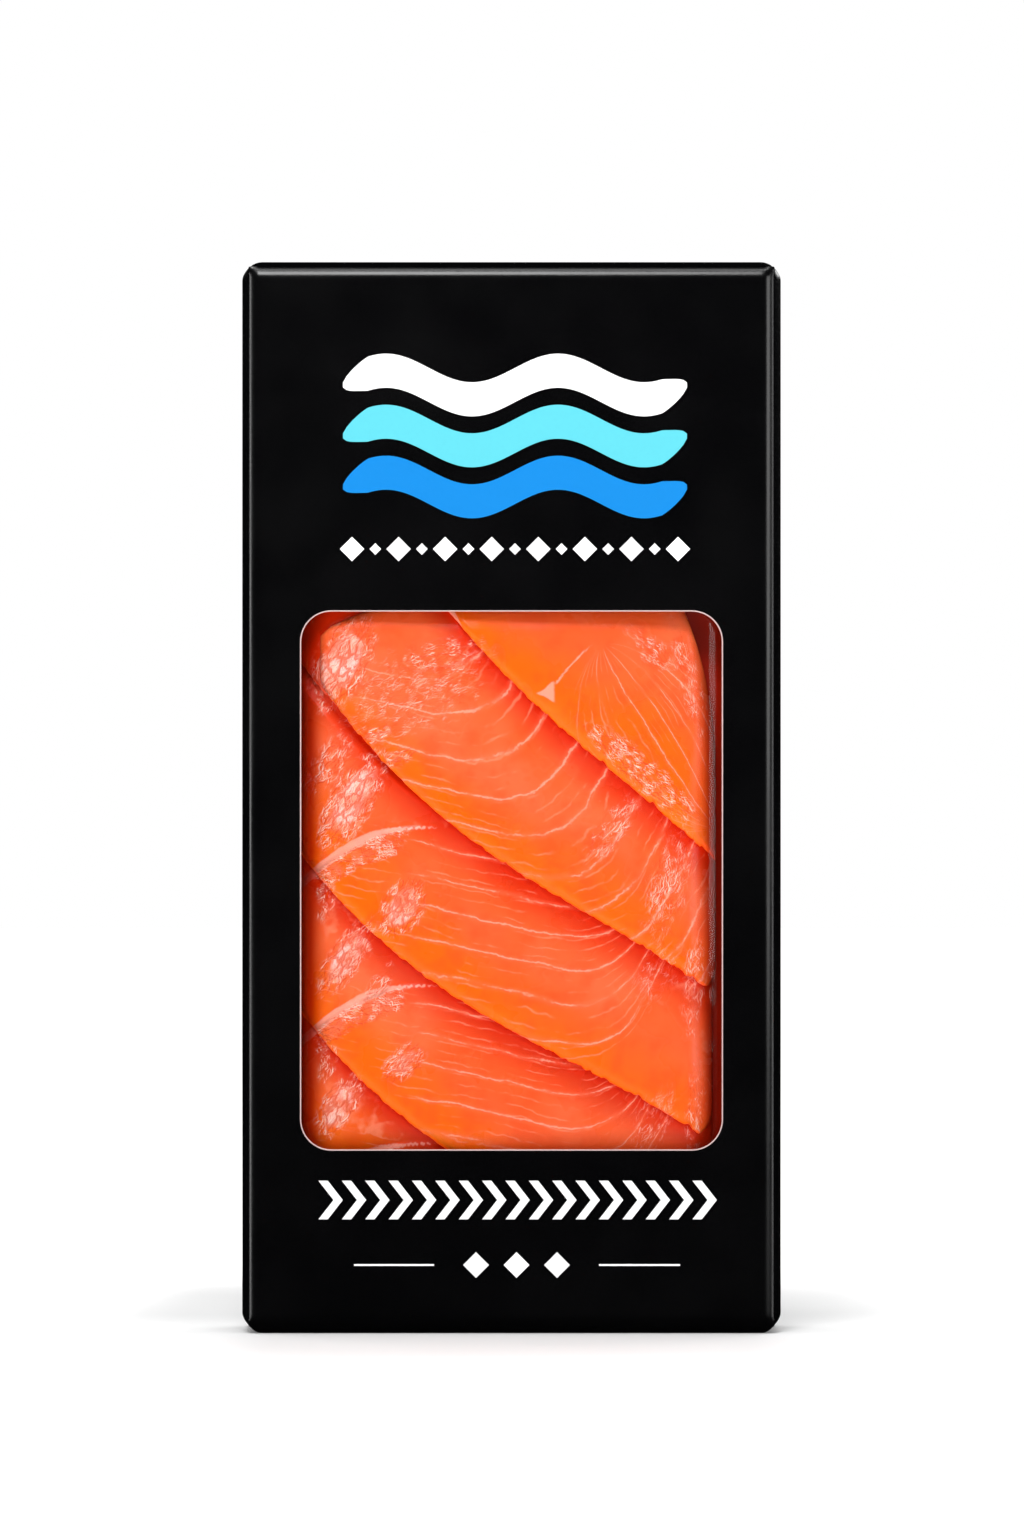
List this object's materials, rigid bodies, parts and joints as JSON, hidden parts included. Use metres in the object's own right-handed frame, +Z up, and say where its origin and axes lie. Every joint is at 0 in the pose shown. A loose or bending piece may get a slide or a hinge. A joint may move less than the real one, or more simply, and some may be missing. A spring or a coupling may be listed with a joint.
{
  "type": "pack of smoked salmon",
  "caption": "Upright black folding carton with rolled panel edges and a round-cornered clear window that shows overlapping diagonal slices of smoked salmon.",
  "frame": {"origin": "centre of the base that the pack stands on", "axes": "+Z up along the pack's height, -Y out of the front panel with the window, +X to the right as seen from the front"},
  "size_m": [0.151, 0.04, 0.3],
  "materials": {
    "carton_board": "satin black laminated folding board with a faint emboss and a white core at its cut edges",
    "clear_film": "clear glossy film",
    "salmon": "moist orange-pink flesh with pale fat lines",
    "salmon_deep": "moist darker orange flesh in the shade between slices"
  },
  "bodies": {
    "root": {"carton": "carton_board", "window_film": "clear_film", "slice_top_right": "salmon", "slice_upper": "salmon", "slice_short": "salmon", "slice_middle": "salmon", "slice_lower": "salmon", "slice_bottom": "salmon", "salmon_stack": "salmon_deep"}
  },
  "joints": []
}
